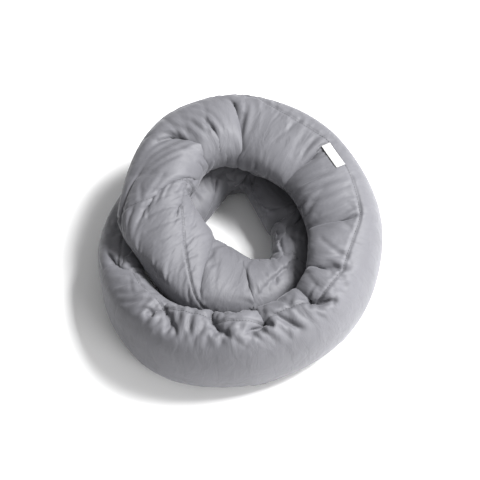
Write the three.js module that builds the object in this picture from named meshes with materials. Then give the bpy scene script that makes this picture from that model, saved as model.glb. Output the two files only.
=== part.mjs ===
// Camp pillow: one long stuffed fabric tube, its two ends sewn together with a
// half twist, wound twice into a ring that lies flat on the ground.
// Millimetres, +Z up. The origin is the middle of the footprint, on the ground.
import * as THREE from 'three';

// ---------------------------------------------------------------- dimensions
const WALL = 1.2;            // cover: sateen outer with its soft backing
const SEAM_GAP = 0.4;        // between the two turned-in edges of the long seam
const SEAM_ALLOWANCE = 5;    // depth that those edges are turned inwards
const JOIN_GAP = 0.6;        // between the two sewn ends of the tube
const TURN_GAP = 1.3;        // each turn keeps this far off the pressed surface
const FILL_INSET = 5.5;      // filling, below the outside of the cover
const NOTCH = 9;             // groove in the filling that takes the allowance
const THREAD = 0.9;          // thickness of the seam stitching
const THREAD_LIFT = 1.3;    // middle of the stitching above the fabric
const FLOOR = 3.0;           // the lowest few millimetres are pressed flat
const SQUARENESS = 2.3;      // superellipse power of the cross-section
const CENTRE = [1.55, -1.75];      // moves the footprint's middle onto the origin
const RINGS = 66;            // cross-sections along the tube
const SIDES = 16;            // faces round the cover
const LABEL = { width: 38, drop: 12.5, thick: 0.7, off: 2.6, lift: 1.5, at: 16.97 };

// Stations along the middle of the tube, one every 75 mm or so, in the order
// of travel: anticlockwise seen from above, starting at the join.
// x, y, z, half thickness outwards, half height, lean of the top outwards (deg),
// direction of the long seam (deg: 0 outwards, 90 up, 180 inwards), slant of
// the cross-section along the tube.
const STATIONS = [
  [-110, 31, 98, 45, 34, 0, 160, 0.55],   // join, upper turn at the left
  [-90, -22, 84, 49, 35, -8, 112, 0.25],
  [-50, -60, 62, 56, 38, -14, 32, 0],
  [6, -79, 47, 49, 41, -14, 0, 0],   // drops to the ground in front
  [65, -57, 41, 37, 38, -8, 0, 0],
  [83, 6, 38, 35, 35, 0, 0, 0],   // inner turn at the right
  [66, 68, 37, 38, 34, 0, 0, 0],
  [28, 130, 36, 37, 33, 0, 0, 0],   // under the outer turn at the back
  [-33, 133, 34, 40, 34, 0, 10, 0],
  [-97, 77, 31, 53, 30, 0, 30, 0],   // under the join
  [-137, 16, 36, 46, 34, 0, 60, 0],
  [-143, -62, 46, 35, 45, 0, 90, 0],   // comes out at the left
  [-100, -132, 54, 38, 53, -12, 98, 0],
  [-28, -155, 58, 38, 57, -6, 98, 0],   // front wall
  [62, -139, 60, 36, 57, -6, 92, 0],
  [121, -77, 70, 43, 52, -12, 74, 0],
  [132, 6, 80, 50, 47, -18, 54, 0],   // outer turn at the right
  [106, 80, 86, 53, 43, -20, 43, 0],
  [47, 131, 91, 53, 39, -16, 46, 0],
  [-23, 149, 95, 47, 37, -12, 16, 0],   // back
  [-84, 110, 99, 43, 34, -4, 4, 0.2],
];
const N = STATIONS.length;

const MAT = {
  cover: new THREE.MeshStandardMaterial({ color: 0x8f8f94, roughness: 0.72, metalness: 0 }),
  fill: new THREE.MeshStandardMaterial({ color: 0xf2f1ec, roughness: 0.95, metalness: 0 }),
  label: new THREE.MeshStandardMaterial({ color: 0xf0efec, roughness: 0.6, metalness: 0 }),
  thread: new THREE.MeshStandardMaterial({ color: 0x7c7c82, roughness: 0.6, metalness: 0 }),
};

// ---------------------------------------------------------------- the tube
const loop = (f) => new THREE.CatmullRomCurve3(
  STATIONS.map((s, i) => new THREE.Vector3(...f(s, i))), true, 'catmullrom', 0.5);
const middle = loop((s) => [s[0], s[1], s[2]]);
const girth = loop((s) => [s[3], s[4], s[5]]);
// the seam turns half a circle less than it started with, because of the twist
const course = loop((s, i) => [s[6] + 180 * i / N, s[7], 0]);
const DEG = Math.PI / 180;

class Section {
  // u runs 0..1 once along the whole tube
  constructor(u) {
    const e = 1e-4, w = (x) => ((x % 1) + 1) % 1;
    this.u = u;
    this.c = middle.getPoint(w(u));
    this.t = middle.getPoint(w(u + e)).sub(middle.getPoint(w(u - e))).normalize();
    this.n = new THREE.Vector3(this.t.y, -this.t.x, 0).normalize();
    this.v = new THREE.Vector3().crossVectors(this.n, this.t).normalize();
    const g = girth.getPoint(w(u)), s = course.getPoint(w(u));
    [this.a, this.b, this.lean] = [g.x, g.y, g.z * DEG];
    this.slant = s.y;
    // the seam's direction as a parameter of the superellipse
    const polar = (s.x - 180 * u) * DEG, h = SQUARENESS / 2;
    const [x, y] = [Math.cos(polar) / this.a, Math.sin(polar) / this.b];
    this.seam = Math.atan2(Math.sign(y) * Math.abs(y) ** h, Math.sign(x) * Math.abs(x) ** h);
  }
  // where a point of the cross-section (outwards, up) is in space
  place(p, q) {
    return this.c.clone().addScaledVector(this.n, p).addScaledVector(this.v, q)
      .addScaledVector(this.t, this.slant * p);
  }
  // 1 on the free surface of this part of the tube, less inside it
  depth(x) {
    const d = x.clone().sub(this.c), P = d.dot(this.n), Q = d.dot(this.v);
    const k = Math.cos(this.lean), s = Math.sin(this.lean);
    const p = P * k - Q * s, q = P * s + Q * k;
    return (Math.abs(p / this.a) ** SQUARENESS + Math.abs(q / this.b) ** SQUARENESS) ** (1 / SQUARENESS);
  }
  along(x) { return x.clone().sub(this.c).dot(this.t); }
  // free outline at a parameter angle, before the turns press together
  free(angle) {
    const c = Math.cos(angle), s = Math.sin(angle), h = 2 / SQUARENESS;
    const p = this.a * Math.sign(c) * Math.abs(c) ** h, q = this.b * Math.sign(s) * Math.abs(s) ** h;
    const k = Math.cos(this.lean), l = Math.sin(this.lean);
    return [p * k + q * l, -p * l + q * k];
  }
}

const PROBES = Array.from({ length: 126 }, (_, i) => new Section(i / 126));
// how far the other turn reaches over a point: its smallest depth there
function other(u, x) {
  let best = 9;
  for (const s of PROBES) {
    const d = Math.abs(((s.u - u) % 1 + 1.5) % 1 - 0.5);
    if (d < 0.2 || Math.abs(s.along(x)) > 9) continue;
    best = Math.min(best, s.depth(x));
  }
  return best;
}
// where both turns want the same room, each one gives way equally: the part of
// its free radius that a turn keeps, all along and all round the tube
const GU = 132, GA = 32;
let kept = Array.from({ length: GU }, (_, i) => {
  const sec = new Section(i / GU);
  return Array.from({ length: GA }, (_, j) => {
    const [P, Q] = sec.free(2 * Math.PI * j / GA), reach = TURN_GAP / Math.hypot(P, Q);
    if (other(sec.u, sec.place(P, Q)) > 1 + reach) return 1;
    let lo = 0.3, hi = 1, k = 1;
    for (let n = 0; n < 16; n++) {
      k = (lo + hi) / 2;
      if (other(sec.u, sec.place(P * k, Q * k)) > k) lo = k; else hi = k;
    }
    return k - reach;
  });
});
const around = (f) => kept.map((row, i) => row.map((_, j) => {
  const cell = [];
  for (const di of [-1, 0, 1]) for (const dj of [-1, 0, 1])
    cell.push(kept[(i + di + GU) % GU][(j + dj + GA) % GA]);
  return f(cell);
}));
kept = around((cell) => Math.min(...cell));
for (let n = 0; n < 2; n++) kept = around((cell) => cell.reduce((x, y) => x + y) / 9);
function share(u, angle) {
  const x = ((u % 1) + 1) % 1 * GU, y = ((angle / (2 * Math.PI)) % 1 + 1) % 1 * GA;
  const i = Math.floor(x), j = Math.floor(y), a = x - i, b = y - j;
  const k = (m, n) => kept[m % GU][n % GA];
  return (k(i, j) * (1 - b) + k(i, j + 1) * b) * (1 - a) + (k(i + 1, j) * (1 - b) + k(i + 1, j + 1) * b) * a;
}
// outline point [outwards, up]; the underside is flat on the ground
function outline(sec, angle) {
  const k = share(sec.u, angle);
  let [p, q] = sec.free(angle).map((x) => x * k);
  const x = sec.place(p, q);
  if (x.z < FLOOR) q += (FLOOR - x.z) / Math.max(0.5, sec.v.z);
  return [p, q];
}
// the same point moved along the outline's own normal by d
function offset(sec, angle, d) {
  const h = 0.10, a = outline(sec, angle - h), b = outline(sec, angle + h), m = outline(sec, angle);
  const tx = b[0] - a[0], ty = b[1] - a[1], l = Math.hypot(tx, ty) || 1;
  const n = [ty / l, -tx / l];
  return { at: [m[0] + n[0] * d, m[1] + n[1] * d], n, t: [tx / l, ty / l] };
}
// the same point moved towards the middle of the tube by d
function inset(sec, angle, d) {
  const [p, q] = outline(sec, angle), k = 1 - d / Math.hypot(p, q);
  return [p * k, q * k];
}

// a body swept through rings of points; cap(k) lists the triangles of an end
function sweep(rings, { closed = false, shift = 0, cap = [] } = {}) {
  const m = rings[0].length, pos = [], idx = [];
  for (const r of rings) for (const p of r) pos.push(p.x, p.y, p.z);
  const last = closed ? rings.length : rings.length - 1;
  for (let i = 0; i < last; i++) {
    const a = i * m, wrap = i === rings.length - 1, b = wrap ? 0 : a + m, s = wrap ? shift : 0;
    for (let k = 0; k < m; k++) {
      const k2 = (k + 1) % m, c = b + (k + s) % m, d = b + (k2 + s) % m;
      idx.push(a + k, a + k2, d, a + k, d, c);
    }
  }
  if (!closed) {
    const e = (rings.length - 1) * m;
    for (const [x, y, z] of cap) idx.push(x, z, y, e + x, e + y, e + z);
  }
  const g = new THREE.BufferGeometry();
  g.setAttribute('position', new THREE.Float32BufferAttribute(pos, 3));
  g.setIndex(idx);
  // faces point out: a positive enclosed volume
  let vol = 0;
  const P = (i) => new THREE.Vector3(pos[3 * i], pos[3 * i + 1], pos[3 * i + 2]);
  for (let i = 0; i < idx.length; i += 3)
    vol += P(idx[i]).dot(P(idx[i + 1]).cross(P(idx[i + 2])));
  if (vol < 0) for (let i = 0; i < idx.length; i += 3) [idx[i + 1], idx[i + 2]] = [idx[i + 2], idx[i + 1]];
  g.setIndex(idx);
  g.translate(CENTRE[0], CENTRE[1], -FLOOR);
  g.computeVertexNormals();
  return g;
}
const fan = (m) => Array.from({ length: m - 2 }, (_, k) => [0, k + 1, k + 2]);
const ease = (u) => Math.min(1, Math.max(0, (Math.min(u, 1 - u) - 0.005) / 0.03));

// ---------------------------------------------------------------- cover
// one panel folded lengthwise: its edges turn in and meet along the long seam,
// and its two ends meet at the join
function coverRing(u) {
  const sec = new Section(u), out = [], inn = [];
  const at = outline(sec, sec.seam), r = Math.hypot(...at), n = [at[0] / r, at[1] / r];
  const edge = (side, across, down) => sec.place(
    at[0] - side * across * n[1] - down * n[0], at[1] + side * across * n[0] - down * n[1]);
  const f = WALL + 0.4 + (SEAM_ALLOWANCE - WALL) * ease(u);
  out.push(edge(1, SEAM_GAP / 2, 0));
  inn.push(edge(1, SEAM_GAP / 2 + WALL, WALL));
  for (let k = 1; k < SIDES; k++) {
    const a = sec.seam + 2 * Math.PI * k / SIDES;
    out.push(sec.place(...outline(sec, a)));
    inn.push(sec.place(...inset(sec, a, WALL)));
  }
  out.push(edge(-1, SEAM_GAP / 2, 0));
  inn.push(edge(-1, SEAM_GAP / 2 + WALL, WALL));
  return [...out, edge(-1, SEAM_GAP / 2, f), edge(-1, SEAM_GAP / 2 + WALL, f),
    ...inn.reverse(), edge(1, SEAM_GAP / 2 + WALL, f), edge(1, SEAM_GAP / 2, f)];
}
function coverCap() {
  const o = (k) => k, i = (k) => 2 * SIDES + 3 - k, t = [];   // outer and inner point k
  for (let k = 0; k < SIDES; k++) t.push([o(k), o(k + 1), i(k + 1)], [o(k), i(k + 1), i(k)]);
  const B = SIDES, m = 2 * SIDES + 6;
  t.push([B, B + 1, B + 2], [B, B + 2, B + 3], [m - 3, m - 2, m - 1], [m - 3, m - 1, 0]);
  return t;
}

// ---------------------------------------------------------------- filling
const SLIT = 8 * DEG;
const FILL_HALF = [0, SLIT, 36 * DEG, 72 * DEG, 108 * DEG, 144 * DEG, Math.PI - SLIT];
const FILL_ANGLES = [...FILL_HALF, ...FILL_HALF.map((a) => a + Math.PI)];
function fillRing(u) {
  const sec = new Section(u);
  return FILL_ANGLES.map((a, k) => {
    const d = FILL_INSET + (k === 0 ? NOTCH * ease(u) : 0);
    return sec.place(...inset(sec, sec.seam + a, d));
  });
}

// ---------------------------------------------------------------- stitching
// a square bead carried along a path given as [middle, outward normal, binormal]
function bead(path, closed) {
  const r = THREAD / 2;
  return sweep(path.map(([c, n, b]) => [[1, 1], [-1, 1], [-1, -1], [1, -1]].map(([x, y]) =>
    c.clone().addScaledVector(n, r * y).addScaledVector(b, r * x))),
  { closed, cap: fan(4) });
}
function seamPoint(u) {
  const sec = new Section(u), o = offset(sec, sec.seam, THREAD_LIFT);
  const n = sec.place(...o.at).sub(sec.place(o.at[0] - o.n[0], o.at[1] - o.n[1])).normalize();
  const b = sec.place(o.at[0] + o.t[0], o.at[1] + o.t[1]).sub(sec.place(...o.at)).normalize();
  return [sec.place(...o.at), n, b];
}

// ---------------------------------------------------------------- label
const LENGTH = middle.getLength();
// a folded woven strip, straight along the seam and draped over the tube,
// hinged on its sewn edge
function labelShape() {
  const sec = new Section(LABEL.at / N);
  const R = Math.hypot(...outline(sec, sec.seam)), reach = LABEL.width / 2 / LENGTH;
  const along = seamPoint(sec.u + reach)[0].sub(seamPoint(sec.u - reach)[0]).normalize();
  const arc = (s, lift) => {
    const o = offset(sec, sec.seam + s / R, lift);
    return sec.place(...o.at);
  };
  const rings = [];
  const steps = 5, lo = [], hi = [];
  for (let i = 0; i <= steps; i++) {
    const s = LABEL.off + LABEL.drop * i / steps;
    lo.push(arc(s, LABEL.lift));
    hi.push(arc(s, LABEL.lift + LABEL.thick));
  }
  for (const w of [-0.5, -0.25, 0, 0.25, 0.5]) {
    const d = along.clone().multiplyScalar(w * LABEL.width);
    rings.push([...lo, ...[...hi].reverse()].map((p) => p.clone().add(d)));
  }
  const m = 2 * steps + 2, cap = [];
  for (let k = 0; k < steps; k++) cap.push([k, k + 1, m - 2 - k], [k, m - 2 - k, m - 1 - k]);
  return { rings, cap, hinge: lo[0], axis: along };
}

// ---------------------------------------------------------------- assembly
const span = (lo, hi, n) => Array.from({ length: n }, (_, i) => lo + (hi - lo) * i / (n - 1));
const pillow = new THREE.Group();
const add = (parent, name, geometry, material) => {
  const mesh = new THREE.Mesh(geometry, material);
  mesh.name = name;
  parent.add(mesh);
  return mesh;
};

const half = JOIN_GAP / 2 / LENGTH;
add(pillow, 'cover_panel', sweep(span(half, 1 - half, RINGS + 1).map(coverRing), { cap: coverCap() }), MAT.cover);
add(pillow, 'fibre_fill', sweep(span(0, 1 - 1 / RINGS, RINGS).map(fillRing), { closed: true, shift: FILL_HALF.length }), MAT.fill);

const stop = 4.5 / LENGTH;
add(pillow, 'long_seam_thread', bead(span(stop, 1 - stop, 2 * RINGS + 1).map(seamPoint), false), MAT.thread);

const first = new Section(0);
add(pillow, 'join_seam_thread', bead(span(0, 1 - 1 / 32, 32).map((w) => {
  const o = offset(first, first.seam + 2 * Math.PI * w, THREAD_LIFT);
  const x = first.place(...o.at);
  const n = x.clone().sub(first.place(o.at[0] - o.n[0], o.at[1] - o.n[1])).normalize();
  return [x, n, first.t];
}), true), MAT.thread);

const label = labelShape();   // hinge point and axis: see label.hinge, label.axis
const flap = new THREE.Group();
add(flap, 'woven_label', sweep(label.rings, { cap: label.cap }), MAT.label);
pillow.add(flap);

export default pillow;
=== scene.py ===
"""Camp pillow: a long stuffed fabric tube, joined into a twisted loop and wound
twice into a ring. The cover is simulated cloth about the same stations as the CAD part."""
import math
import bpy
import numpy as np
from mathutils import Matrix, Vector


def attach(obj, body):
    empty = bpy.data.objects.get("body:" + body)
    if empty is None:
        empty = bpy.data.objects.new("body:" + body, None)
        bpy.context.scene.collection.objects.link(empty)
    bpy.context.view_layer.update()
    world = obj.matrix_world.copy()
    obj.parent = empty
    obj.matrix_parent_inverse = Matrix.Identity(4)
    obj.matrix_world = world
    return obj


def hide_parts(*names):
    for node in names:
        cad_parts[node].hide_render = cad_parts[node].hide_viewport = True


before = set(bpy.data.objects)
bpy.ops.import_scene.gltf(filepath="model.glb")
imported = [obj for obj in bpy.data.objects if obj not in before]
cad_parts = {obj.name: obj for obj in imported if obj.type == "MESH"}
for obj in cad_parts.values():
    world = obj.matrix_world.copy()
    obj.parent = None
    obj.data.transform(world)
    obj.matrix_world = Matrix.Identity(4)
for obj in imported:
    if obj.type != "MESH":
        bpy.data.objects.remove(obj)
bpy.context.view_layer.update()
scene = bpy.context.scene

# ------------------------------------------------------------------ camera
TARGET = Vector((0.0016, -0.0018, 0.057))
ELEVATION = math.radians(60)
DISTANCE = 1.5
cam_data = bpy.data.cameras.new("camera")
cam_data.lens, cam_data.sensor_width = 86.5, 36
camera = bpy.data.objects.new("camera", cam_data)
scene.collection.objects.link(camera)
away = Vector((0, -math.cos(ELEVATION), math.sin(ELEVATION)))
camera.location = TARGET + DISTANCE * away
camera.rotation_euler = (-away).to_track_quat("-Z", "Y").to_euler()
scene.camera = camera

# ------------------------------------------------------------------ the tube
# The same stations as the CAD part, in millimetres: x, y, z, half thickness
# outwards, half height, lean, direction of the long seam, slant.
STATIONS = np.array([
    [-110, 31, 98, 45, 34, 0, 160, 0.55],
    [-90, -22, 84, 49, 35, -8, 112, 0.25],
    [-50, -60, 62, 56, 38, -14, 32, 0],
    [6, -79, 47, 49, 41, -14, 0, 0],
    [65, -57, 41, 37, 38, -8, 0, 0],
    [83, 6, 38, 35, 35, 0, 0, 0],
    [66, 68, 37, 38, 34, 0, 0, 0],
    [28, 130, 36, 37, 33, 0, 0, 0],
    [-33, 133, 34, 40, 34, 0, 10, 0],
    [-97, 77, 31, 53, 30, 0, 30, 0],
    [-137, 16, 36, 46, 34, 0, 60, 0],
    [-143, -62, 46, 35, 45, 0, 90, 0],
    [-100, -132, 54, 38, 53, -12, 98, 0],
    [-28, -155, 58, 38, 57, -6, 98, 0],
    [62, -139, 60, 36, 57, -6, 92, 0],
    [121, -77, 70, 43, 52, -12, 74, 0],
    [132, 6, 80, 50, 47, -18, 54, 0],
    [106, 80, 86, 53, 43, -20, 43, 0],
    [47, 131, 91, 53, 39, -16, 46, 0],
    [-23, 149, 95, 47, 37, -12, 16, 0],
    [-84, 110, 99, 43, 34, -4, 4, 0.20]], float)
N = len(STATIONS)
PITCH = 75.9                       # mm of tube from one station to the next
FLOOR = 3.0                        # height of the floor among the stations
SHIFT = np.array([1.55, -1.75, -3.0])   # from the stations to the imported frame
POWER = 2.3                        # superellipse of the section
TUBE_RADIUS = 40                   # mm
MM_PER_DEGREE = 0.75               # round the tube
MM = 0.001
LABEL_AT, LABEL_WIDTH, LABEL_DROP = 16.97, 38.0, 12.5


def loop(table, u):
    """closed Catmull-Rom curve through the rows of a table"""
    n = len(table)
    t = np.asarray(u, float) % 1 * n
    i = np.floor(t).astype(int)
    w = (t - i)[:, None]
    p0, p1, p2, p3 = (table[(i + k) % n] for k in (-1, 0, 1, 2))
    v0, v1 = (p2 - p0) / 2, (p3 - p1) / 2
    return (2*p1 - 2*p2 + v0 + v1)*w**3 + (3*p2 - 3*p1 - 2*v0 - v1)*w**2 + v0*w + p1


class Sections:
    def __init__(self, u):
        self.u = u = np.asarray(u, float)
        pos, e = STATIONS[:, :3], 1e-4
        self.c = loop(pos, u)
        t = loop(pos, u + e) - loop(pos, u - e)
        self.t = t / np.linalg.norm(t, axis=1)[:, None]
        n = np.stack([self.t[:, 1], -self.t[:, 0], 0*u], 1)
        self.n = n / np.linalg.norm(n, axis=1)[:, None]
        self.v = np.cross(self.n, self.t)
        g = loop(STATIONS[:, 3:6], u)
        self.a, self.b, self.lean = g[:, 0], g[:, 1], np.radians(g[:, 2])
        course = STATIONS[:, 6:].copy()
        course[:, 0] += 180 * np.arange(N) / N
        s = loop(course, u)
        polar, h = np.radians(s[:, 0] - 180*u), POWER/2
        x, y = np.cos(polar)/self.a, np.sin(polar)/self.b
        self.seam = np.arctan2(np.sign(y)*np.abs(y)**h, np.sign(x)*np.abs(x)**h)
        self.slant = s[:, 1]

    def free(self, ang):
        h, c, s = 2/POWER, np.cos(ang), np.sin(ang)
        p = self.a[:, None]*np.sign(c)*np.abs(c)**h
        q = self.b[:, None]*np.sign(s)*np.abs(s)**h
        k, l = np.cos(self.lean)[:, None], np.sin(self.lean)[:, None]
        return p*k + q*l, -p*l + q*k

    def place(self, p, q):
        return (self.c[:, None] + p[..., None]*self.n[:, None] + q[..., None]*self.v[:, None]
                + (self.slant[:, None]*p)[..., None]*self.t[:, None])


def other(u, X, probe):
    """least depth of each point in the other turn, 1 on its surface"""
    best = np.full(X.shape[:2], 9.0)
    for k in range(len(probe.u)):
        far = np.nonzero(np.abs((probe.u[k] - u + 1.5) % 1 - 0.5) >= 0.2)[0]
        d = X[far] - probe.c[k]
        P, Q = d @ probe.n[k], d @ probe.v[k]
        c, s = np.cos(probe.lean[k]), np.sin(probe.lean[k])
        depth = (np.abs((P*c - Q*s)/probe.a[k])**POWER
                 + np.abs((P*s + Q*c)/probe.b[k])**POWER)**(1/POWER)
        depth[np.abs(d @ probe.t[k]) > 9] = 9
        best[far] = np.minimum(best[far], depth)
    return best


def around(K, f):
    return f(np.stack([np.roll(K, (i, j), (0, 1)) for i in (-1, 0, 1) for j in (-1, 0, 1)]), 0)


def kept_grid(gu=132, ga=32, gap=1.3):
    """the part of its free radius that each turn keeps where the turns press"""
    probe, sec = Sections(np.arange(126)/126), Sections(np.arange(gu)/gu)
    P, Q = sec.free(np.broadcast_to(2*np.pi*np.arange(ga)/ga, (gu, ga)))
    reach = gap/np.hypot(P, Q)
    hit = other(sec.u, sec.place(P, Q), probe) <= 1 + reach
    lo, hi = np.full(P.shape, .3), np.ones(P.shape)
    for _ in range(12):
        k = (lo + hi)/2
        ok = other(sec.u, sec.place(P*k, Q*k), probe) > k
        lo, hi = np.where(ok, k, lo), np.where(ok, hi, k)
    K = around(np.where(hit, k - reach, 1), np.min)
    return around(around(K, np.mean), np.mean)


KEPT = kept_grid()


def share(u, ang):
    gu, ga = KEPT.shape
    x = (np.asarray(u) % 1)[:, None]*gu + 0*ang
    y = (ang/(2*np.pi)) % 1*ga
    i, j = np.floor(x).astype(int), np.floor(y).astype(int)
    a, b = x - i, y - j
    k = lambda m, n: KEPT[m % gu, n % ga]
    return (k(i, j)*(1-b) + k(i, j+1)*b)*(1-a) + (k(i+1, j)*(1-b) + k(i+1, j+1)*b)*a


def tube(nu, nr, scale=1.0):
    """rings x points; point 0 is on the long seam, and the last ring meets the
    first with half a turn"""
    sec = Sections(np.arange(nu)/nu)
    ang = sec.seam[:, None] + 2*np.pi*np.arange(nr)/nr
    p, q = sec.free(ang)
    k = share(sec.u, ang)
    X = sec.place(p*k*scale, q*k*scale)
    X[..., 2] = np.maximum(X[..., 2], FLOOR)
    return X + SHIFT, sec, ang, 1 - k


# ------------------------------------------------------------------ cloth
def wrap(A, h):
    half = A.shape[1]//2
    return np.concatenate([np.roll(A[-h:], -half, 1), A, np.roll(A[:h], half, 1)])


def along(A, d):
    B, h = wrap(A, abs(d)), abs(d)
    return B[h+d:h+d+len(A)]


def round_(A, d):
    return np.roll(A, -d, 1)


def low(A, hu, hv):
    """box mean over 2hu+1 rings and 2hv+1 points, twice"""
    for _ in range(2):
        B = wrap(A, hu+1).cumsum(0)
        A = (B[2*hu+1:2*hu+1+len(A)] - B[:len(A)])/(2*hu+1)
        B = np.concatenate([A[:, -hv-1:], A, A[:, :hv]], 1).cumsum(1)
        A = (B[:, 2*hv+1:] - B[:, :-(2*hv+1)])/(2*hv+1)
    return A


def normals(X):
    n = np.cross(along(X, 1) - along(X, -1), round_(X, 1) - round_(X, -1))
    return n/np.maximum(np.linalg.norm(n, axis=2, keepdims=True), 1e-9)


def pair(X, Y, rest, kt, kc):
    d = Y - X
    l = np.linalg.norm(d, axis=2, keepdims=True) + 1e-9
    e = l - rest
    return d/l*(np.where(e > 0, kt, kc)*e)


# The stuffed tube folds deeply where the ring bends most: station, depth in mm, and
# the degrees between which the fold runs (0 outwards, 90 up, 180 inwards).
DEEP_FOLDS = [(2, 15, 90, 150), (14.5, 12, 70, 160), (15, 14, 70, 170), (16, 15, 60, 180),
              (17, 16, 60, 180), (18.5, 18, 80, 180), (20, 9, 40, 160)]
# Elsewhere it creases lightly: from and to which station, how many, depth in mm, degrees
LIGHT_CREASES = [(0, 1.5, 6, 6, 50, 110), (2.5, 4.5, 5, 6, 60, 160), (4.5, 6.5, 5, 7, 110, 180),
                 (7, 10, 3, 7, 70, 170), (10.5, 11.5, 2, 7, 40, 110), (12, 13.5, 6, 6, 60, 110),
                 (15, 18, 6, 6, 60, 110), (19, 21, 6, 6, 40, 110)]
OUTER_WALL = (13.5, 20, 260, 30)   # stretched smooth: station, degrees, mm along, mm around


def creases():
    """every fold and crease: its depth, then points along it as (station, degrees)"""
    r = np.random.default_rng(12)
    lines = []
    for at, depth, lo, hi in DEEP_FOLDS:
        lines.append((depth, (at + 0.1, lo), (at + r.uniform(-0.15, 0.15), (lo + hi)/2),
                      (at + r.uniform(-0.2, 0.2), hi)))
    for start, end, number, depth, lo, hi in LIGHT_CREASES:
        for n in range(number):
            at, lean = start + (end - start)*(n + r.uniform(0.2, 0.8))/number, r.uniform(0, 0.35)
            p, q = lo + r.uniform(-10, 20), hi + r.uniform(-25, 25)
            lines.append((depth*r.uniform(0.7, 1.3), (at, p), (at + lean*0.4, (p + q)/2), (at + lean, q)))
    return lines


def bulges():
    """the filling swells the cloth between two deep folds that are near each other"""
    places = []
    for (at, depth, *_), (then, other_depth, *_) in zip(DEEP_FOLDS, DEEP_FOLDS[1:] + DEEP_FOLDS[:1]):
        gap = (then - at) % N
        if gap <= 3:
            places.append((0.16*(depth + other_depth), at + gap/2, 100, 0.3*gap*PITCH, 33))
    return places


CREASES = creases()
BULGES = bulges()
WIDE_BULGE = 30                    # mm along the tube
SMOOTH = [OUTER_WALL] + [(at, 95, 1.2*long, wide)
                         for _, at, _, long, wide in BULGES if long > WIDE_BULGE]


def bulge(st, ph):
    """the bulges as a height over the smooth tube"""
    B = np.zeros(st.shape)
    for height, at, angle, long, wide in BULGES:
        x, y = patch(st, ph, at, angle)
        B += height*np.exp(-(x/long)**2 - (y/wide)**2)
    return B[..., None]


def uneven(st, ang, seed=4):
    """smooth unevenness along and round the tube, about 0 and with unit spread"""
    r = np.random.default_rng(seed)
    R = np.zeros(st.shape)
    for _ in range(18):
        k, m, a = r.integers(7, 26), r.integers(-3, 4), r.uniform(0, 2*np.pi)
        R += np.sin(2*np.pi*k*st/N + m*ang + a)
    return (R/3)[..., None]


def patch(st, ph, at, angle):
    """mm along and across the tube from a place on it"""
    return (((st - at + N/2) % N - N/2)*PITCH,
            ((ph - angle + 180) % 360 - 180)*MM_PER_DEGREE)


def crease_depth(st, ph, width):
    """mm that the creases go in, each a smooth groove about its line"""
    S = np.zeros(st.shape)
    for depth, *points in CREASES:
        for p, q in zip(points, points[1:]):
            x, y = patch(st, ph, *p)
            qx, qy = (q[0] - p[0])*PITCH, (q[1] - p[1])*MM_PER_DEGREE
            t = np.clip((x*qx + y*qy)/(qx*qx + qy*qy), 0, 1)
            d2 = (x - t*qx)**2 + (y - t*qy)**2
            w = width*(1.5 if depth > 12 else 1)
            S = np.maximum(S, depth*np.exp(-d2/(2*w**2)))
    return S[..., None]


LITTLE_GATHER = 0.1    # all three levels are under it: at 0.1 or more the seam gets full slack
FREE_OUT, CALM_OUT, PRESSED_OUT = 5.0, 0.4, 0.3    # mm outside the smooth tube
FREE_IN, CALM_IN = 18, 1.5                         # mm inside it


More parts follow.
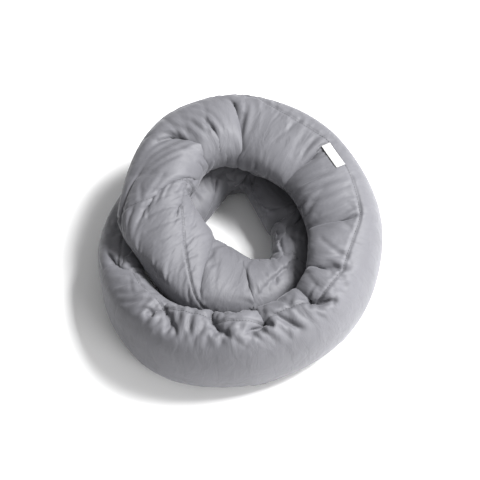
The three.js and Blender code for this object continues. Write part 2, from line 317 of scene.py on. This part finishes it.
class Cloth:
    """springs, bending and pressure, kept in a band about the smooth tube. Nothing in it
    tests for collisions: the band alone keeps the two turns apart."""
    def __init__(self, nu, nr, girth, slack, gather, width):
        self.T, sec, ang, press = tube(nu, nr)
        self.st = (np.arange(nu)/nu*N)[:, None] + 0*ang
        self.ph = np.degrees(ang)
        soft = np.clip(1 - press/0.02, 0, 1)[..., None]
        self.T = self.T + normals(self.T)*bulge(self.st, self.ph)*soft
        self.T[..., 2] = np.maximum(self.T[..., 2], 0)
        self.nu, self.nr = nu, nr
        ds = np.linalg.norm(np.roll(sec.c, -1, 0) - sec.c, axis=1)
        kap = np.linalg.norm(np.roll(sec.t, -1, 0) - np.roll(sec.t, 1, 0), axis=1)/(2*ds)
        w = nu//40
        kap = np.convolve(np.concatenate([kap[-w:], kap, kap[:w]]), np.ones(2*w+1)/(2*w+1), "valid")
        self.N = normals(self.T)
        # the cloth is cut straight, so it is tight outside the bends and loose inside
        outer = np.clip(np.cos(ang), 0, 1)[..., None]**2
        # mm round the tube from the long seam, and along it from the join
        j = np.arange(nr)
        self.across = np.minimum(j, nr - j)[None, :]*girth/nr + 0*ang
        i = np.arange(nu)
        self.join = np.minimum(i, nu - i)[:, None]*N*PITCH/nu + 0*ang
        # where the seam gathers little, the cloth beside it has half the slack
        flat_seam = 1 - (gather < LITTLE_GATHER)*0.5*np.exp(-(self.across/25)**2)[..., None]
        self.loose = np.clip(1 + 0.6*uneven(self.st, ang), 0.1, 2.0)*(1 - 0.75*outer)
        for at, angle, long, wide in SMOOTH:
            x, y = patch(self.st, self.ph, at, angle)
            self.loose *= 1 - 0.85*np.exp(-(x/long)**4 - (y/wide)**4)[..., None]
        extra = kap[:, None, None]*TUBE_RADIUS*slack*(0.45 + 0.55*self.loose)*flat_seam
        self.ru = ds[:, None, None]*(1 + extra - 0.012*outer)
        self.rv = np.full((nu, nr, 1), girth/nr)
        # the seam is drawn up, and the cloth beside it is gathered
        self.ru *= (1 + gather*np.exp(-(self.across/20)**2))[..., None]
        self.ru[:, 0] *= 1 - gather
        self.rv[0] *= 0.95
        # under the label the cloth lies flat
        x, _ = patch(self.st, self.ph, LABEL_AT, 0)
        y = np.where(j < nr/2, j, j - nr)[None, :]*girth/nr - 8
        self.calm = np.exp(-(x/30)**6 - (y/19)**6)[..., None]
        # how far out and in the cloth may go: least where the turns press on each other
        free_out = FREE_OUT*(1 - self.calm) + CALM_OUT
        self.cap = np.where(press[..., None] > 0.012, PRESSED_OUT, free_out)
        self.inner = -FREE_IN*(1 - self.calm) - CALM_IN
        self.S = crease_depth(self.st, self.ph, width)*(1 - self.calm)
        self.V = np.zeros_like(self.T)

    def step(self, n, press, bend, hold, shape=0.15):
        kt, kc, ks = 0.45, 0.25, 0.12
        dg = np.sqrt(self.ru**2 + self.rv**2)
        for _ in range(n):
            X0 = self.X
            X = X0 + self.V*0.9 + normals(X0)*press
            C = np.zeros_like(X)
            e = pair(X, along(X, 1), self.ru, kt, kc)
            C += e
            C -= along(e, -1)
            e = pair(X, round_(X, 1), self.rv, kt, kc)
            C += e
            C -= round_(e, -1)
            for d in (1, -1):
                e = pair(X, round_(along(X, 1), d), dg, ks, ks/2)
                C += e
                C -= round_(along(e, -1), -d)
            X = X + C*0.5
            Lu = (along(X, 1) + along(X, -1))/2 - X
            Lv = (round_(X, 1) + round_(X, -1))/2 - X
            X = X + bend*(Lu - (along(Lu, 1) + along(Lu, -1))/2
                          + Lv - (round_(Lv, 1) + round_(Lv, -1))/2)
            # the filling keeps the tube as a whole in its place
            X = X - shape*low(X - self.rest, *hold)
            out = ((X - self.T)*self.N).sum(2, keepdims=True)
            X = X - self.N*(np.maximum(out - self.cap, 0) + np.minimum(out - self.inner, 0))
            X[..., 2] = np.maximum(X[..., 2], 0)
            self.V = X - X0
            v = np.linalg.norm(self.V, axis=2, keepdims=True)
            self.V *= np.minimum(1, 1/np.maximum(v, 1e-9))
            self.X = X

    def doubled(self):
        X = self.X
        A = np.empty((2*self.nu, self.nr, 3))
        A[::2] = X
        A[1::2] = (-along(X, -1) + 9*X + 9*along(X, 1) - along(X, 2))/16
        B = np.empty((2*self.nu, 2*self.nr, 3))
        B[:, ::2] = A
        B[:, 1::2] = (-round_(A, -1) + 9*A + 9*round_(A, 1) - round_(A, 2))/16
        return B


def ripple(nu, nr, amount, seed, cells=1):
    r = low(np.random.default_rng(seed).normal(size=(nu, nr, 1)), cells, cells)
    return r/r.std()*amount


LEVELS = [  # rings, points, girth, slack, gather, crease width, steps, pressure, bend, noise, hold
    (200, 36, 278, 0.50, 0.00, 7.0, 240, 0.12, 0.06, 0.8, (7, 3)),
    (400, 72, 285, 0.75, 0.04, 5.0, 180, 0.040, 0.04, 0.5, (14, 6)),
    (800, 144, 292, 1.10, 0.07, 3.2, 120, 0.018, 0.018, 0.45, (3, 5))]
# the creases are pressed in again in the first rounds of each level, by a share of their depth
PRESSED_ROUNDS = 0.06              # rounds of ten steps, for each step of the level
PRESSED_SHARE = (0.04, 0.04, 0.025)
cloth = None
for level, (nu, nr, girth, slack, gather, width, steps, press, bend, noise, hold) in enumerate(LEVELS):
    X = cloth.doubled() if cloth else tube(nu, nr, 0.96)[0]
    cloth = Cloth(nu, nr, girth, slack, gather, width)
    cloth.rest = X if level == 2 else cloth.T
    cloth.X = X + cloth.N*cloth.loose*ripple(nu, nr, noise, 3 + level)
    if level == 0:
        cloth.X -= cloth.N*cloth.S
    for k in range(steps//10):
        if k < steps*PRESSED_ROUNDS:
            cloth.X -= cloth.N*cloth.S*PRESSED_SHARE[level]
        cloth.step(10, press, bend, hold)
    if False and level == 1:
        break

X = cloth.X
NU, NR = cloth.nu, cloth.nr

# ------------------------------------------------------------------ helpers
def faces(nu, nr):
    F = []
    for i in range(nu):
        last = i == nu - 1
        a, b = i*nr, 0 if last else (i + 1)*nr
        s = nr//2 if last else 0
        for j in range(nr):
            k = (j + 1) % nr
            F.append((a + j, b + (j + s) % nr, b + (k + s) % nr, a + k))
    return F


def mesh(name, verts, polys, smooth=True):
    me = bpy.data.meshes.new(name)
    me.from_pydata(np.asarray(verts, float).reshape(-1, 3).tolist(), [], polys)
    me.update()
    if smooth:
        me.polygons.foreach_set("use_smooth", [True]*len(me.polygons))
    ob = bpy.data.objects.new(name, me)
    scene.collection.objects.link(ob)
    return ob


def nodes(name):
    m = bpy.data.materials.new(name)
    m.use_nodes = True
    t = m.node_tree
    return m, t, t.nodes["Principled BSDF"]


def add(t, kind, **kw):
    n = t.nodes.new(kind)
    for k, v in kw.items():
        if hasattr(n, k):
            setattr(n, k, v)
        else:
            n.inputs[k].default_value = v
    return n


# ------------------------------------------------------------------ cover
nrm = normals(X)
# sewn lines pull the cloth in, and it puckers beside them
line = np.exp(-(cloth.across/1.6)**2)*2.0 - np.exp(-((cloth.across - 4.0)/2.2)**2)*0.35
ring = np.exp(-(cloth.join/1.6)**2)*1.7 - np.exp(-((cloth.join - 4.0)/2.2)**2)*0.35
cell_u, cell_v = N*PITCH/NU, LEVELS[-1][2]/NR


def pressed_creases():
    """narrow creases in the cloth: mm in or out of the surface"""
    r = np.random.default_rng(8)
    D = np.zeros((NU, NR))
    I, J = np.arange(NU), np.arange(NR)

    def crease(i, j, turn, length, depth, width, bend):
        """turn is measured from the way round the tube; the crease fades at its ends"""
        h, k = int(length/cell_u) + 6, min(int(length/cell_v) + 6, NR//2 - 1)
        di, dj = np.meshgrid(np.arange(-h, h + 1), np.arange(-k, k + 1), indexing="ij")
        x, y = di*cell_u, dj*cell_v
        t = x*np.sin(turn) + y*np.cos(turn)
        d = x*np.cos(turn) - y*np.sin(turn) + bend*(t/length)**2*length
        fade = np.clip(1 - (2*t/length)**2, 0, 1)
        z = depth*fade*(-np.exp(-(d/width)**2) + 0.55*np.exp(-((d - 2.1*width)/(1.5*width))**2))
        a, b = i + di, j + dj
        # past the join the rings are half a turn round
        b = np.where((a < 0) | (a >= NU), b + NR//2, b) % NR
        D[a % NU, b] += z

    for _ in range(420):                     # anywhere that is loose
        i, j = r.integers(NU), r.integers(NR)
        turn, length, depth = r.normal(0, 0.45), r.uniform(22, 60), r.uniform(0.6, 1.7)
        if cloth.loose[i, j, 0] > r.uniform(0.5, 1.7):
            crease(i, j, turn, length, depth, r.uniform(2.0, 3.2), r.normal(0, 0.25))
    i = 0.0
    while i < NU:                            # gathers on both sides of the long seam
        at = i/NU*N
        front = np.exp(-((at - 13.2)/2.2)**4)
        length = r.uniform(12, 22) + front*r.uniform(4, 34)
        side = r.choice([-1, 1])
        depth = r.uniform(0.6, 1.2) + front*r.uniform(0, 0.8)
        crease(int(i), int(side*length*0.42/cell_v), r.normal(0, 0.3 + 0.25*front), length, depth,
               r.uniform(1.8, 2.6), r.normal(0, 0.2))
        i += r.uniform(4, 9 - 2*front)/cell_u
    j = 0.0
    while j < NR:                            # and of the join
        length = r.uniform(14, 40)
        side = r.choice([-1, 1])
        crease(int(side*length*0.42/cell_u), int(j), np.pi/2 + r.normal(0, 0.35), length,
               r.uniform(0.7, 1.6), r.uniform(1.8, 2.6), r.normal(0, 0.2))
        j += r.uniform(5, 11)/cell_v
    return D


def puckers(n, lo, hi, seed):
    """uneven waves along a seam of n points, each lo to hi points long"""
    r = np.random.default_rng(seed)
    s = np.zeros(n)
    p = 0.0
    while p < n:
        w = r.uniform(lo, hi)
        x = np.arange(int(p), min(n, int(p + w) + 1))
        s[x] += np.sin(np.pi*(x - p)/w).clip(0)*r.uniform(0.5, 1.0)*r.choice([1, -0.6])
        p += w*0.5
    return s


pu = puckers(NU, 7/cell_u, 15/cell_u, 5)[:, None]*np.exp(-(cloth.across/9)**2)
pj = puckers(NR, 7/cell_v, 14/cell_v, 6)[None, :]*np.exp(-(cloth.join/11)**2)
sharp = -1.6*np.minimum(crease_depth(cloth.st, cloth.ph, 1.6)[..., 0]/8, 1.3)
D = (-line - ring + 0.5*pu + 0.5*pj + pressed_creases() + sharp)*(1 - 0.85*cloth.calm[..., 0])
X = X + nrm*D[..., None]
X[..., 2] = np.maximum(X[..., 2], 0.05)

cover = mesh("cover", X*MM, faces(NU, NR))
uv = cover.data.uv_layers.new(name="cloth")
corner = np.empty((NU, NR, 4, 2))
i0, j0 = np.arange(NU)[:, None]*cell_u*0.001, np.arange(NR)[None, :]*cell_v*0.001
for c, (di, dj) in enumerate(((0, 0), (1, 0), (1, 1), (0, 1))):
    corner[:, :, c, 0] = i0 + di*cell_u*0.001
    corner[:, :, c, 1] = j0 + dj*cell_v*0.001
uv.data.foreach_set("uv", corner.ravel())


def sateen(name, dark, light):
    m, t, b = nodes(name)
    L = t.links.new
    co = add(t, "ShaderNodeUVMap", uv_map="cloth")
    # weave: yarns 0.35 mm apart along the tube and 0.7 mm apart round it
    bands = dict(wave_type="BANDS", Distortion=0.6)
    wu = add(t, "ShaderNodeTexWave", bands_direction="X", Scale=900.0, **bands)
    wv = add(t, "ShaderNodeTexWave", bands_direction="Y", Scale=450.0, **bands)
    weave = add(t, "ShaderNodeMix", data_type="FLOAT")
    weave.inputs[0].default_value = 0.35
    L(co.outputs[0], wu.inputs["Vector"])
    L(co.outputs[0], wv.inputs["Vector"])
    L(wu.outputs["Fac"], weave.inputs[2])
    L(wv.outputs["Fac"], weave.inputs[3])
    # small handling creases, longer round the tube than along it
    stretch = add(t, "ShaderNodeMapping")
    stretch.inputs["Scale"].default_value = (95, 34, 1)
    L(co.outputs[0], stretch.inputs["Vector"])
    small = add(t, "ShaderNodeTexNoise", Scale=1.0, Detail=3.0, Roughness=0.55, Distortion=0.5)
    L(stretch.outputs[0], small.inputs["Vector"])
    ridge = add(t, "ShaderNodeMapRange")
    ridge.inputs["From Min"].default_value = 0.35
    ridge.inputs["From Max"].default_value = 0.75
    L(small.outputs["Fac"], ridge.inputs["Value"])
    b1 = add(t, "ShaderNodeBump", Strength=0.45, Distance=0.0016)
    L(ridge.outputs["Result"], b1.inputs["Height"])
    b2 = add(t, "ShaderNodeBump", Strength=0.12, Distance=0.0001)
    L(weave.outputs[0], b2.inputs["Height"])
    L(b1.outputs["Normal"], b2.inputs["Normal"])
    L(b2.outputs["Normal"], b.inputs["Normal"])
    # colour: slight unevenness of the dye, and the yarns
    pos = add(t, "ShaderNodeTexCoord")
    big = add(t, "ShaderNodeTexNoise", Scale=14.0, Detail=4.0, Roughness=0.6)
    L(pos.outputs["Object"], big.inputs["Vector"])
    ramp = add(t, "ShaderNodeValToRGB")
    ramp.color_ramp.elements[0].position, ramp.color_ramp.elements[1].position = 0.3, 0.7
    ramp.color_ramp.elements[0].color, ramp.color_ramp.elements[1].color = (*dark, 1), (*light, 1)
    L(big.outputs["Fac"], ramp.inputs["Fac"])
    yarn = add(t, "ShaderNodeMix", data_type="RGBA", blend_type="MULTIPLY")
    yarn.inputs[0].default_value = 0.10
    L(ramp.outputs[0], yarn.inputs[6])
    L(weave.outputs[0], yarn.inputs[7])
    L(yarn.outputs[2], b.inputs["Base Color"])
    rough = add(t, "ShaderNodeMapRange")
    rough.inputs["To Min"].default_value, rough.inputs["To Max"].default_value = 0.50, 0.64
    L(small.outputs["Fac"], rough.inputs["Value"])
    L(rough.outputs["Result"], b.inputs["Roughness"])
    b.inputs["Specular IOR Level"].default_value = 0.30
    b.inputs["Sheen Weight"].default_value = 0.20
    b.inputs["Sheen Roughness"].default_value = 0.38
    b.inputs["Sheen Tint"].default_value = (0.9, 0.9, 0.95, 1)
    return m


cover.data.materials.append(sateen("grey_sateen", (0.120, 0.120, 0.132), (0.150, 0.150, 0.164)))
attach(cover, "pillow")
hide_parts("cover_panel")

# ------------------------------------------------------------------ filling
FILL_SHARE = 0.74                  # of the cover, about the middle of the tube
q = low(X, 12, 8)[::4, ::4]
mid = q.mean(1, keepdims=True)
fill = mesh("filling", (mid + (q - mid)*FILL_SHARE)*MM, faces(q.shape[0], q.shape[1]))
m, t, b = nodes("white_wadding")
pos = add(t, "ShaderNodeTexCoord")
fluff = add(t, "ShaderNodeTexNoise", Scale=160.0, Detail=6.0, Roughness=0.7)
bump = add(t, "ShaderNodeBump", Strength=0.6, Distance=0.002)
ramp = add(t, "ShaderNodeValToRGB")
ramp.color_ramp.elements[0].color = (0.78, 0.78, 0.76, 1)
ramp.color_ramp.elements[1].color = (0.92, 0.92, 0.90, 1)
t.links.new(pos.outputs["Object"], fluff.inputs["Vector"])
t.links.new(fluff.outputs["Fac"], bump.inputs["Height"])
t.links.new(fluff.outputs["Fac"], ramp.inputs["Fac"])
t.links.new(ramp.outputs[0], b.inputs["Base Color"])
t.links.new(bump.outputs["Normal"], b.inputs["Normal"])
b.inputs["Roughness"].default_value = 0.95
fill.data.materials.append(m)
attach(fill, "pillow")
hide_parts("fibre_fill")

# ------------------------------------------------------------------ stitching
def stitches(name, path, up, length, gap, radius):
    """a row of separate short stitches along a path of points in mm"""
    seg = np.linalg.norm(np.diff(path, axis=0), axis=1)
    s = np.concatenate([[0], np.cumsum(seg)])
    at = lambda d, A: np.array([np.interp(d, s, A[:, k]) for k in range(3)])
    V, F = [], []
    d = gap
    while d + length < s[-1]:
        base = len(V)
        a, c = at(d, path), at(d + length, path)
        n = at(d + length/2, up)
        n /= np.linalg.norm(n)
        ax = c - a
        ax /= np.linalg.norm(ax)
        side = np.cross(ax, n)
        for w in (0.0, 0.18, 0.5, 0.82, 1.0):
            r = radius*(0.45 if w in (0.0, 1.0) else 1.0)
            mid = at(d + length*w, path) + n*(radius*1.3*np.sin(np.pi*w) - radius*0.3)
            for k in range(6):
                th = k*np.pi/3
                V.append(mid + side*np.cos(th)*r + n*np.sin(th)*r)
        for w in range(4):
            for k in range(6):
                here, then = base + w*6, base + w*6 + 6
                F.append((here + k, here + (k+1) % 6, then + (k+1) % 6, then + k))
        F.append(tuple(base + k for k in range(5, -1, -1)))
        F.append(tuple(base + 24 + k for k in range(6)))
        d += length + gap
    return mesh(name, np.array(V)*MM, F)


def thread(name, colour):
    m, t, b = nodes(name)
    pos = add(t, "ShaderNodeTexCoord")
    w = add(t, "ShaderNodeTexWave", Scale=1400.0, Distortion=2.0)
    bump = add(t, "ShaderNodeBump", Strength=0.5, Distance=0.0001)
    ramp = add(t, "ShaderNodeValToRGB")
    ramp.color_ramp.elements[0].color = tuple(c*0.8 for c in colour) + (1,)
    ramp.color_ramp.elements[1].color = colour + (1,)
    t.links.new(pos.outputs["Object"], w.inputs["Vector"])
    t.links.new(w.outputs["Fac"], bump.inputs["Height"])
    t.links.new(w.outputs["Fac"], ramp.inputs["Fac"])
    t.links.new(ramp.outputs[0], b.inputs["Base Color"])
    t.links.new(bump.outputs["Normal"], b.inputs["Normal"])
    b.inputs["Roughness"].default_value = 0.55
    b.inputs["Sheen Weight"].default_value = 0.3
    return m


grey_thread = thread("grey_thread", (0.075, 0.075, 0.083))
nn = normals(X)
edge = max(1, int(3/cell_u))
STITCH = (2.6, 1.0, 0.36)          # length, gap, radius in mm
ON_TOP = 0.15                      # mm above the cloth
seam_up = nn[edge:-edge, 0]
row = stitches("long_seam_stitches", X[edge:-edge, 0] + seam_up*ON_TOP, seam_up, *STITCH)
row.data.materials.append(grey_thread)
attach(row, "pillow")
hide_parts("long_seam_thread")
hoop = np.concatenate([X[0], X[0, :1]])
hoop_up = np.concatenate([nn[0], nn[0, :1]])
ringed = stitches("join_seam_stitches", hoop + hoop_up*ON_TOP, hoop_up, *STITCH)
ringed.data.materials.append(grey_thread)
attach(ringed, "pillow")
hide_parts("join_seam_thread")

# ------------------------------------------------------------------ label
# the label lies just clear of the cloth, straight along the seam
mid_ring = int(round(LABEL_AT/N*NU))
reach = int(round(LABEL_WIDTH/2/cell_u))
start, end = X[mid_ring - reach, 0], X[mid_ring + reach, 0]
axis = (end - start)/np.linalg.norm(end - start)
up = nn[mid_ring - reach:mid_ring + reach, :int(14/cell_v)].mean((0, 1))
up -= axis*(up @ axis)
up /= np.linalg.norm(up)
inward = np.cross(axis, up)
centre = X[mid_ring, 0]
if (X[mid_ring, int(12/cell_v)] - centre) @ inward < 0:
    inward = -inward
near = X[mid_ring - 2*reach:mid_ring + 2*reach, :int(24/cell_v)].reshape(-1, 3) - centre
ns, nt, nh = near @ axis, near @ inward, near @ up
GW, GD = 29, 11                    # points along and across the label
UNDER_LABEL = 3.0                  # mm round each of them
LS = np.linspace(-LABEL_WIDTH/2, LABEL_WIDTH/2, GW)
LT = np.linspace(1.6, 1.6 + LABEL_DROP, GD)
H = np.empty((GW, GD))
for i, s in enumerate(LS):
    for j, tt in enumerate(LT):
        under = (ns - s)**2 + (nt - tt)**2 < UNDER_LABEL**2
        H[i, j] = nh[under].max() if under.any() else 0
# the ribbon is stiff: it follows the cloth as one gentle curve, and clears it
gs, gt = np.meshgrid(LS/20, LT/20, indexing="ij")
terms = np.stack([gs*0 + 1, gs, gt, gs*gs], -1).reshape(-1, 4)
curve = (terms @ np.linalg.lstsq(terms, H.ravel(), rcond=None)[0]).reshape(H.shape)
H = curve + np.clip((H - curve).max(), 0, 0.9) + 0.25
G = centre + LS[:, None, None]*axis + LT[None, :, None]*inward + H[..., None]*up
THICK = 0.5                        # mm
top, bot = G + up*THICK, G
# folded free edge: top and bottom layers meet in a round
fold = G[:, -1] + up*THICK/2 + inward*THICK*0.55
profile = np.concatenate([top, fold[:, None], bot[:, ::-1]], 1)
M = profile.shape[1]
LF = [(i*M + j, (i+1)*M + j, (i+1)*M + (j+1) % M, i*M + (j+1) % M)
      for i in range(GW-1) for j in range(M)]
LF += [tuple(range(M)), tuple((GW-1)*M + k for k in range(M-1, -1, -1))]
label = mesh("woven_label_ribbon", profile*MM, LF)
m, t, b = nodes("label_satin")
pos = add(t, "ShaderNodeTexCoord")
turn = add(t, "ShaderNodeMapping")
turn.inputs["Rotation"].default_value = (0, 0, math.atan2(axis[1], axis[0]))
w = add(t, "ShaderNodeTexWave", bands_direction="X", Scale=650.0, Distortion=0.5)
w2 = add(t, "ShaderNodeTexNoise", Scale=220.0, Detail=3.0)
bump = add(t, "ShaderNodeBump", Strength=0.35, Distance=0.0001)
ramp = add(t, "ShaderNodeValToRGB")
ramp.color_ramp.elements[0].color = (0.43, 0.43, 0.425, 1)
ramp.color_ramp.elements[1].color = (0.51, 0.51, 0.505, 1)
t.links.new(pos.outputs["Object"], turn.inputs["Vector"])
t.links.new(turn.outputs[0], w.inputs["Vector"])
t.links.new(pos.outputs["Object"], w2.inputs["Vector"])
t.links.new(w.outputs["Fac"], bump.inputs["Height"])
t.links.new(w2.outputs["Fac"], ramp.inputs["Fac"])
t.links.new(ramp.outputs[0], b.inputs["Base Color"])
t.links.new(bump.outputs["Normal"], b.inputs["Normal"])
b.inputs["Roughness"].default_value = 0.45
b.inputs["Sheen Weight"].default_value = 0.15
label.data.materials.append(m)
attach(label, "label")
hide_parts("woven_label")

# ------------------------------------------------------------------ stage
floor = mesh("studio_floor", [(-6, -6, 0), (6, -6, 0), (6, 6, 0), (-6, 6, 0)], [(0, 1, 2, 3)], False)
m, t, b = nodes("pale_floor")
b.inputs["Base Color"].default_value = (0.93, 0.93, 0.93, 1)
b.inputs["Roughness"].default_value = 0.8
b.inputs["Specular IOR Level"].default_value = 0.1
floor.data.materials.append(m)

world = bpy.data.worlds.new("studio")
world.use_nodes = True
t = world.node_tree
sky = t.nodes["Background"]
sky.inputs[0].default_value = (1, 1, 1, 1)
# the room is brighter on the side of the window, towards +X, and overhead
way = add(t, "ShaderNodeTexCoord")
split = add(t, "ShaderNodeSeparateXYZ")
product = add(t, "ShaderNodeMath", operation="MULTIPLY")
t.links.new(way.outputs["Generated"], split.inputs[0])
for axis_no, dim, full in ((0, 0.22, 0.42), (2, 0.45, 1.55)):
    bright = add(t, "ShaderNodeMapRange")
    for k, v in (("From Min", -1), ("From Max", 1), ("To Min", dim), ("To Max", full)):
        bright.inputs[k].default_value = v
    t.links.new(split.outputs[axis_no], bright.inputs["Value"])
    t.links.new(bright.outputs["Result"], product.inputs[0 if axis_no == 0 else 1])
t.links.new(product.outputs[0], sky.inputs[1])
scene.world = world


def softbox(name, place, size, power):
    d = bpy.data.lights.new(name, "AREA")
    d.shape, d.size, d.energy = "SQUARE", size, power
    o = bpy.data.objects.new(name, d)
    scene.collection.objects.link(o)
    o.location = place
    o.rotation_euler = (Vector((0, 0, 0.05)) - Vector(place)).to_track_quat("-Z", "Y").to_euler()


softbox("key", (1.22, 0.34, 1.75), 0.7, 104)
softbox("fill", (1.5, -1.6, 0.7), 1.0, 36)
scene.view_settings.view_transform = "Standard"
scene.view_settings.look = "None"
